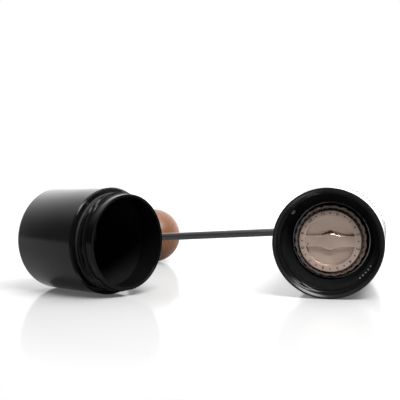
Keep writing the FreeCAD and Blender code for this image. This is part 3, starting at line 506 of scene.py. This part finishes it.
# %% The carrier's two finishes
carrier = frame["nodes"]["burr_carrier"]
carrier.data.materials.append(finishes["dull_black"])
for face in carrier.data.polygons:
    face.material_index = int((on_grinder.inverted() @ face.center).z / MM > carrier_face + 0.05)
print("carrier:", sum(face.material_index for face in carrier.data.polygons), "dull faces of",
      len(carrier.data.polygons))


# %% [markdown]
# ## The catch cup
# The cup is a second tube with a floor. Its side is satin, with a large round at the base where it
# is picked up. The shoulder has a narrow chamfer, and from there on the cup is turned smooth and
# glossy. Its neck has a groove for a rubber ring and a thread that matches the socket's.

# %% The cup
NECK_LENGTH = 13.0
CUP_WALL = 2.6
NECK_WALL = 1.5
CUP_FLOOR = 3.2
BASE_ROUND = 2.7
PAD_RECESS = 1.6
SHOULDER_CHAMFER = 0.7
RING_GROOVE_DEPTH = 0.8
RING_GROOVE_WIDTH = 2.0
THREAD_RUN_IN = 2.6
THREAD_RUN_OUT = 3.2
NECK_CREST = mounts["cup_neck"]["dims"]["r_mm"]
_, cup_radius, _, cup_end = span("catch_cup", on_cup)
neck_root = SOCKET_CREST - 0.4
shoulder = cup_end - NECK_LENGTH
pad_radius = span("cup_base_pad", on_cup)[1] + 0.1


def cup_wave(angle, radius, level):
    """The thread on the outside of the neck."""
    on_neck = (np.abs(radius - neck_root) < ON_SURFACE) & (level > shoulder)
    ridge = thread(angle, level, shoulder + THREAD_RUN_IN, cup_end - THREAD_RUN_OUT)
    return on_neck * ridge * (NECK_CREST - neck_root)


groove_floor = neck_root - RING_GROOVE_DEPTH
cup_inside = cup_radius - CUP_WALL
cup_outline = [(0.0, PAD_RECESS), (pad_radius, PAD_RECESS, 0.1), (pad_radius, 0.0, 0.3),
               (cup_radius, 0.0, BASE_ROUND), (cup_radius, shoulder - SHOULDER_CHAMFER, 0.1),
               (cup_radius - SHOULDER_CHAMFER, shoulder, 0.1), (groove_floor, shoulder, 0.1),
               (groove_floor, shoulder + RING_GROOVE_WIDTH, 0.1)]
cup_outline += rows(neck_root, shoulder + 2.1, cup_end - 0.8, 0.2)
cup_outline += [(neck_root, cup_end, 0.4), (neck_root - NECK_WALL, cup_end, 0.3),
                (neck_root - NECK_WALL, shoulder, 1.0), (cup_inside, shoulder - 4.0, 1.0),
                (cup_inside, CUP_FLOOR, 3.2), (0.0, CUP_FLOOR)]
cup_shell = turned("cup_shell", eased(cup_outline), on_cup, "cup", ("catch_cup",),
                   steps=256, wave=cup_wave)
coat(cup_shell, "black_anodised", "black_gloss")
gloss_start = shoulder - 0.65
for face in cup_shell.data.polygons:
    face.material_index = int(face.center.z / MM > gloss_start)
print("cup", round(cup_end, 1), "mm long, shoulder at", round(shoulder, 1))


# %% [markdown]
# ## The dial
# Behind the open socket sits the dial that sets the grind. Its rim is scalloped for grip and has
# a click notch for every step. The plate inside it is a flat numbered band round a deep well,
# and a grip bar with a swelling at its middle bridges the well. Scallops and notches are circles
# cut into the rim, so their waves are worked out from those circles.

# %% The scalloped rim
RIM_WALL = 1.9
RIM_DEPTH = 3.0
SCALLOPS = 24
NOTCHES = 36
SCALLOP_RADIUS = 2.5
SCALLOP_STANDOFF = 2.0
NOTCH_RADIUS = 0.5
rim_bore, rim_radius, rim_face, rim_back = span("dial_rim", on_grinder)
rim_inside = rim_radius - RIM_WALL


def circle_bite(angle, count, centre, radius):
    """How a ring of circles cuts a ray at each angle: mid distance, half chord, and whether it cuts."""
    step = math.tau / count
    offset = angle - np.round(angle / step) * step
    inside = radius ** 2 - (centre * np.sin(offset)) ** 2
    return centre * np.cos(offset), np.sqrt(np.maximum(inside, 0.0)), inside > 0.0


def rim_wave(angle, radius, level):
    """Scallops outside and click notches inside."""
    near, reach, cut = circle_bite(angle, SCALLOPS, rim_radius + SCALLOP_STANDOFF, SCALLOP_RADIUS)
    scallop = np.where(cut, np.minimum(near - reach - rim_radius, 0.0), 0.0)
    near, reach, cut = circle_bite(angle, NOTCHES, rim_inside + 0.05, NOTCH_RADIUS)
    notch = np.where(cut, np.maximum(near + reach - rim_inside, 0.0), 0.0)
    outer = np.clip((radius - rim_inside - 0.7) / 0.6, 0.0, 1.0)
    inner = (radius > rim_inside - 0.1) & (radius < rim_inside + 0.35)
    inner = inner & (level < rim_face + RIM_DEPTH - 0.1)
    return scallop * outer + notch * inner


rim_outline = [(rim_bore, rim_face + RIM_DEPTH, 0.1), (rim_inside, rim_face + RIM_DEPTH, 0.0)]
rim_outline += rows(rim_inside, rim_face + RIM_DEPTH - 0.2, rim_face + 0.4, 0.6)
rim_outline += [(rim_inside, rim_face, 0.25), (rim_radius, rim_face, 0.45)]
rim_outline += rows(rim_radius, rim_face + 0.9, rim_back - 0.9, 1.4)
rim_outline += [(rim_radius, rim_back, 0.5), (rim_bore, rim_back, 0.2)]
dial_ring = turned("dial_ring", eased(rim_outline), on_grinder, "dial", ("dial_rim",),
                   steps=720, wave=rim_wave)
coat(dial_ring, "dial_rim_metal")

# %% The numbered plate
NUMBER_BAND = 3.5
WELL_DEPTH = 2.6
NUT_POCKET = 0.66
nut_room, plate_radius, plate_face, plate_back = span("dial_disc", on_grinder)
nut_floor = plate_back - NUT_POCKET
well_radius = plate_radius - NUMBER_BAND
well_floor = plate_face + WELL_DEPTH
plate_outline = [(0.0, well_floor), (well_radius, well_floor, 0.1), (well_radius, plate_face, 0.1),
                 (plate_radius, plate_face, 0.4), (plate_radius, plate_back, 0.0),
                 (nut_room, plate_back, 0.1), (nut_room, nut_floor, 0.1), (0.0, nut_floor)]
dial_plate = turned("dial_plate", eased(plate_outline), on_grinder, "dial", ("dial_disc",),
                    steps=256)
coat(dial_plate, "dial_metal", "dial_rim_metal")
# The well's wall, the plate's edge and the nut pocket's wall take the darker rim metal: painted shade over the
# bright arc the light would leave on the well's edge.
for face in dial_plate.data.polygons:
    face.material_index = int(abs(face.normal.z) < 0.8)

# %% [markdown]
# ### The grip bar
# The bar runs straight, swells at its middle and runs straight again, which no turned outline can
# give. So it is a row of cross sections from left to right, each joined to the next. Each has a
# sloped edge that grows wider on the swelling. The upward slopes alone take a lighter, glossier copy
# of the dial metal: a painted highlight where they face the light. The downward slopes keep the plain metal.

# %% Cross sections and bar
BAR_HALF = 3.2
BAR_SWELL = 2.4
SWELL_HALF = 5.8
BAR_SECTIONS = 97
bar_top = plate_face + 0.2
bar_end = well_radius + 0.05


def swelling(x):
    """How far the bar swells at x: 1 at its middle and 0 beyond the swelling, slightly eased."""
    share = max(0.0, 1.0 - math.hypot(x, 0.35) / SWELL_HALF)
    return share ** 1.1


def bar_section(x):
    """The corners of one cross section, from the lower foot to the upper foot."""
    swell = swelling(x)
    half = BAR_HALF + BAR_SWELL * swell
    upper = 0.4 + 1.2 * swell
    lower = 0.2 + 0.3 * swell
    corners = [(-half, well_floor + 0.1), (-half, bar_top + 0.7 * upper), (upper - half, bar_top),
               (half - lower, bar_top), (half, bar_top + lower), (half, well_floor + 0.1)]
    return [Vector((x, across, level)) * MM for across, level in corners]


build = bmesh.new()
sections = []
for x in np.linspace(-bar_end, bar_end, BAR_SECTIONS):
    sections.append([build.verts.new(corner) for corner in bar_section(x)])
for this, following in zip(sections, sections[1:]):
    for index in range(len(this)):
        beside = (index + 1) % len(this)
        build.faces.new((this[index], this[beside], following[beside], following[index]))
build.faces.new(sections[0])
build.faces.new(reversed(sections[-1]))
grip_bar = finished_mesh("dial_grip_bar", build, on_grinder, "dial")
softening = grip_bar.modifiers.new("edge round", "BEVEL")
softening.width = 0.12 * MM
softening.segments = 2
softening.limit_method = "ANGLE"
softening.angle_limit = math.radians(20.0)
coat(grip_bar, "dial_metal", "painted_glint_metal")
# Only slopes facing up take the lighter, glossier metal: a painted highlight where they face the light.
for face in grip_bar.data.polygons:
    face.material_index = int(face.normal.y < -0.2 and 0.2 < abs(face.normal.z) < 0.98)


# %% [markdown]
# ### Numbers and dots
# Twelve numbers and twelve dots alternate round the band, and one more dot on the bar is its
# pointer. They are engraved and filled with dark ink, so each is a thin solid that stands a
# hundredth of a millimetre out of the metal.

# %% Ink
NUMBER_COUNT = 12
NUMBER_HEIGHT = 2.5
STROKE_EXTRA = 0.05
INK_PROUD = 0.012
INK_DEPTH = 0.08
DOT_RADIUS = 0.42
POINTER_INSET = 1.4
POINTER_LIFT = 1.7
ink_circle = well_radius + NUMBER_BAND / 2.0 + 0.1


def dot(build, x, y, radius, level, stretch=1.0):
    """A small ink mark that faces down the grinder's axis; stretch draws it out round that axis."""
    place = Matrix.Translation(Vector((x, y, level - INK_PROUD + INK_DEPTH / 2.0)) * MM)
    turn = Matrix.Rotation(math.atan2(y, x), 4, "Z") @ Matrix.Diagonal((1.0, stretch, 1.0, 1.0))
    bmesh.ops.create_cone(build, cap_ends=True, segments=20, radius1=radius * MM, radius2=radius * MM,
                          depth=INK_DEPTH * MM, matrix=place @ turn)


def numeral(build, text, place):
    """One number as a thin solid, added to a bmesh."""
    letters = bpy.data.curves.new("numeral", "FONT")
    letters.body = text
    letters.size = NUMBER_HEIGHT * MM
    letters.align_x = "CENTER"
    letters.align_y = "CENTER"
    letters.extrude = INK_DEPTH / 2.0 * MM
    letters.offset = STROKE_EXTRA * MM
    letters.resolution_u = 3
    holder = bpy.data.objects.new("numeral", letters)
    mesh = bpy.data.meshes.new_from_object(holder)
    mesh.transform(place)
    build.from_mesh(mesh)
    bpy.data.objects.remove(holder)
    bpy.data.curves.remove(letters)
    bpy.data.meshes.remove(mesh)


ink = bmesh.new()
for step in range(NUMBER_COUNT):
    turn = math.tau * step / NUMBER_COUNT
    dot(ink, ink_circle * math.cos(turn), ink_circle * math.sin(turn), DOT_RADIUS, plate_face)
    spin = turn + math.pi / NUMBER_COUNT
    outwards = Matrix.Rotation(spin, 4, "Z") @ Matrix.Translation(Vector((0.0, -ink_circle, 0.0)) * MM)
    lift = Matrix.Translation((0.0, 0.0, (plate_face - INK_PROUD + INK_DEPTH / 2.0) * MM))
    numeral(ink, str(step), lift @ outwards @ Matrix.Rotation(math.pi, 4, "X"))
dot(ink, POINTER_INSET - well_radius, POINTER_LIFT, DOT_RADIUS, bar_top)
dial_numbers = finished_mesh("dial_numbers", ink, on_grinder, "dial")
coat(dial_numbers, "dial_ink")

# %% [markdown]
# ### Marks on the flange
# One longer index mark shows where the dial is read, and five dots stand across from it. They are
# painted on, so they are thin solids like the ink.

# %% Paint marks on the flange
INDEX_TURN = 218.8
INDEX_RADIUS = 0.8
INDEX_STRETCH = 1.6
FIRST_DOT_TURN = 30.5
DOT_SPACING = 4.85
DOT_COUNT = 5
mark_near, mark_far, mark_level, _ = span("flange_marks", on_grinder)
mark_circle = (mark_near + mark_far) / 2.0
index_turn = math.radians(INDEX_TURN)
marks = bmesh.new()
dot(marks, mark_circle * math.cos(index_turn), mark_circle * math.sin(index_turn), INDEX_RADIUS,
    mark_level, INDEX_STRETCH)
for step in range(DOT_COUNT):
    turn = math.radians(FIRST_DOT_TURN + DOT_SPACING * step)
    dot(marks, mark_circle * math.cos(turn), mark_circle * math.sin(turn), DOT_RADIUS, mark_level)
flange_paint = finished_mesh("flange_paint", marks, on_grinder, "body", ("flange_marks",))
coat(flange_paint, "mark_paint")


# %% [markdown]
# ## The lid
# The lid is a shallow turned cap with a hollow plug that fits the hopper. The plug has a groove for
# the seal, and a boss in the lid's middle holds the bush for the spindle. Its top is faced flat,
# with one fine line near the edge, where the cutting tool changed step.

# %% The lid
PLUG_WALL = 2.5
SEAL_HALF = 0.8
lid_bore, lid_radius, plug_low, lid_top = span("hopper_lid", on_grinder)
plug_radius = span("hopper_collar", on_grinder)[0] - 0.5
seal_level = body_length - 4.0
lid_under = body_length + 0.1
hollow_top = body_length + 0.6
boss_low = body_length - 2.4
boss_radius = lid_bore + 3.45
seal_floor = plug_radius - 1.0
line_middle = lid_radius - 3.4
line_floor = lid_top - 0.25
lid_outline = [(lid_bore, boss_low, 0.1), (boss_radius, boss_low, 0.3),
               (boss_radius, hollow_top, 0.3), (plug_radius - PLUG_WALL, hollow_top, 0.3),
               (plug_radius - PLUG_WALL, plug_low, 0.2), (plug_radius, plug_low, 0.8),
               (plug_radius, seal_level - SEAL_HALF, 0.1), (seal_floor, seal_level - SEAL_HALF, 0.1),
               (seal_floor, seal_level + SEAL_HALF, 0.1), (plug_radius, seal_level + SEAL_HALF, 0.1),
               (plug_radius, lid_under, 0.2), (lid_radius, lid_under, 0.4), (lid_radius, lid_top, 1.1),
               (line_middle + 0.4, lid_top, 0.1), (line_middle + 0.2, line_floor, 0.1),
               (line_middle - 0.2, line_floor, 0.1), (line_middle - 0.4, lid_top, 0.1),
               (lid_bore, lid_top, 0.2)]
lid_cap = turned("lid_cap", eased(lid_outline), on_grinder, "lid", ("hopper_lid",),
                 steps=192)
coat(lid_cap, "black_anodised")


# %% [markdown]
# ## The crank arm and its knob
# The arm is a straight rod with an eye at its end. The knob is a ball on a short neck, its far
# end cut flat round the screw. The neck runs into the ball with a small cove, as a wood turner
# leaves it.

# %% The arm
ARM_RADIUS = 2.75
EYE_BORE = 3.02
EYE_RADIUS = 6.5
_, _, eye_low, eye_high = span("crank_arm", on_crank)
crank_length = math.hypot(knob_axis.x, knob_axis.z) / MM
arm_level = (eye_low + eye_high) / 2.0
hub_radius = span("crank_hub", on_crank)[1]
arm_lift = Matrix.Translation((0.0, 0.0, arm_level * MM))
rod_place = on_crank @ arm_lift @ Matrix.Rotation(math.radians(-90.0), 4, "Y")
rod_outline = [(0.0, hub_radius - 4.0), (ARM_RADIUS, hub_radius - 4.0, 0.2),
               (ARM_RADIUS, crank_length - 4.0, 0.2), (0.0, crank_length - 4.0)]
arm_rod = turned("arm_rod", eased(rod_outline), rod_place, "crank", ("crank_arm",), steps=64)
eye_outline = [(EYE_BORE, eye_low, 0.2), (EYE_RADIUS, eye_low, 0.5),
               (EYE_RADIUS, eye_high, 0.5), (EYE_BORE, eye_high, 0.2)]
arm_eye = turned("arm_eye", eased(eye_outline), on_knob, "crank", steps=96)
coat(arm_rod, "black_arm")
coat(arm_eye, "black_arm")

# %% The knob
KNOB_CUT = 3.0
KNOB_NECK = 9.0
POCKET_DEPTH = 3.0
knob_bore, knob_radius, knob_low, knob_end = span("crank_knob", on_knob)
knob_level = knob_end + KNOB_CUT - knob_radius
pocket = span("knob_screw", on_knob)[1] + 0.8
join = math.asin(KNOB_NECK / knob_radius) - math.pi / 2.0
crown = math.asin((knob_end - knob_level) / knob_radius)
knob_outline = [(knob_bore, knob_low, 0.3), (KNOB_NECK, knob_low, 1.2),
                (KNOB_NECK, knob_level + knob_radius * math.sin(join), 2.5)]
for turn in np.linspace(join + 0.06, crown, 40):
    ease = 0.8 if turn == crown else 0.0
    knob_outline.append((knob_radius * math.cos(turn), knob_level + knob_radius * math.sin(turn), ease))
pocket_floor = knob_end - POCKET_DEPTH
knob_outline += [(pocket, knob_end, 0.4), (pocket, pocket_floor, 0.3), (knob_bore, pocket_floor, 0.1)]
knob_ball = turned("knob_ball", eased(knob_outline), on_knob, "knob", ("crank_knob",),
                   steps=160)
coat(knob_ball, "knob_wood")


# %% [markdown]
# ## Table, light and camera
# The table is white and mirrors the pieces faintly. It is lit a little from within, so shadows on
# it stay soft, and more so far off, where it has to meet the bright room. It ends not far in front
# of the pieces. A wide soft light hangs above on the camera's side, for the dial and the chamfer of
# the mouth, and a weak one hangs overhead. The room is bright behind the object and dark on the
# camera's side, which keeps the black parts black. The camera stands low, a little to the right.

# %% The table
TABLE_SIZE = 6.0
TABLE_FRONT = -0.19
TABLE_SHADE = 0.225
TABLE_GLOW = 0.10
FAR_GLOW = 0.84
TABLE_MIRROR = 0.13
GLOW_NEAR = 0.15
GLOW_FAR = 0.7
table_top = cad_low.z
table_mesh = bpy.data.meshes.new("table")
table_mesh.from_pydata([(-TABLE_SIZE, TABLE_FRONT, 0.0), (TABLE_SIZE, TABLE_FRONT, 0.0),
                        (TABLE_SIZE, TABLE_SIZE, 0.0), (-TABLE_SIZE, TABLE_SIZE, 0.0)], [], [(0, 1, 2, 3)])
table = bpy.data.objects.new("table", table_mesh)
bpy.context.scene.collection.objects.link(table)
table.location = (0.0, 0.0, table_top)
table_finish, tree, shader = new_finish("table_white", Specular_IOR_Level=0.0)
shader.inputs["Base Color"].default_value = (*[TABLE_SHADE] * 3, 1.0)
from_middle = node(tree, "VectorMath", {0: node(tree, "TexCoord").outputs["Object"]}, operation="LENGTH")
glow = between(tree, from_middle.outputs["Value"], TABLE_GLOW, FAR_GLOW, GLOW_NEAR, GLOW_FAR)
tree.links.new(glow, shader.inputs["Emission Strength"])
shader.inputs["Emission Color"].default_value = (1.0, 0.995, 0.985, 1.0)
mirror = node(tree, "BsdfGlossy", {"Roughness": 0.12})
mixed = node(tree, "MixShader", {"Fac": TABLE_MIRROR})
tree.links.new(shader.outputs["BSDF"], mixed.inputs[1])
tree.links.new(mirror.outputs["BSDF"], mixed.inputs[2])
tree.links.new(mixed.outputs["Shader"], tree.nodes["Material Output"].inputs["Surface"])
table_mesh.materials.append(table_finish)
print("table top at", round(table_top / MM, 1), "mm")

# %% The room
BACK_LIGHT = 2.6
FRONT_LIGHT = 0.03
TOP_LIGHT = 0.9
BACK_GLARE = 2.2
room = bpy.data.worlds.new("room")
bpy.context.scene.world = room
room.use_nodes = True
tree = room.node_tree
tree.nodes.clear()
direction = node(tree, "TexCoord").outputs["Generated"]
parts = node(tree, "SeparateXYZ", {"Vector": direction}).outputs
behind = between(tree, parts["Y"], FRONT_LIGHT, BACK_LIGHT, -0.1, 0.6)
above = between(tree, parts["Z"], 0.0, TOP_LIGHT, 0.35, 0.9)
glare = between(tree, parts["Y"], 0.0, BACK_GLARE, 0.85, 0.99)
soft_room = node(tree, "Math", {0: behind, 1: above}, operation="ADD").outputs[0]
room_light = node(tree, "Math", {0: soft_room, 1: glare}, operation="ADD").outputs[0]
seen = node(tree, "LightPath").outputs["Is Camera Ray"]
brightness = {"Factor": seen, "A": room_light, "B": 1.0}
strength = node(tree, "Mix", brightness, data_type="FLOAT").outputs["Result"]
background = node(tree, "Background", {"Color": (1.0, 1.0, 1.0, 1.0), "Strength": strength})
node(tree, "OutputWorld", {"Surface": background.outputs["Background"]})
print("room: from", FRONT_LIGHT, "in front to", BACK_LIGHT, "behind")


# %% The lamps
def soft_light(name, place, aim, width, depth, watts):
    """A soft light pointed at a place, hidden from the camera."""
    lamp = bpy.data.lights.new(name, "AREA")
    lamp.shape = "RECTANGLE"
    lamp.size = width
    lamp.size_y = depth
    lamp.energy = watts
    holder = bpy.data.objects.new(name, lamp)
    holder.location = place
    holder.rotation_euler = (Vector(aim) - Vector(place)).to_track_quat("-Z", "Y").to_euler()
    holder.visible_camera = False
    bpy.context.scene.collection.objects.link(holder)
    print(name, "light,", watts, "W")


dial_middle = Vector((0.0, plate_face * MM, 0.0))
soft_light("key", (0.27, -0.31, 0.60), dial_middle, 0.54, 0.26, 18.0)
soft_light("overhead", (0.10, 0.10, 0.80), dial_middle, 0.60, 0.30, 3.0)

# %% The camera
CAMERA_TURN = math.radians(14.48)
CAMERA_TILT = math.radians(-1.09)
CAMERA_PLACE = Vector((31.1, -384.4, 29.75)) * MM
SENSOR_WIDTH = 36.0
LENS_LENGTH = 66.13
lens = bpy.data.cameras.new("camera")
lens.sensor_width = SENSOR_WIDTH
lens.lens = LENS_LENGTH
camera = bpy.data.objects.new("camera", lens)
camera.location = CAMERA_PLACE
look = Vector((-math.sin(CAMERA_TURN) * math.cos(CAMERA_TILT),
               math.cos(CAMERA_TURN) * math.cos(CAMERA_TILT), math.sin(CAMERA_TILT)))
camera.rotation_euler = look.to_track_quat("-Z", "Y").to_euler()
bpy.context.scene.collection.objects.link(camera)
bpy.context.scene.camera = camera
bpy.context.scene.view_settings.view_transform = "Standard"
print("camera", [round(x / MM) for x in camera.location], "mm")
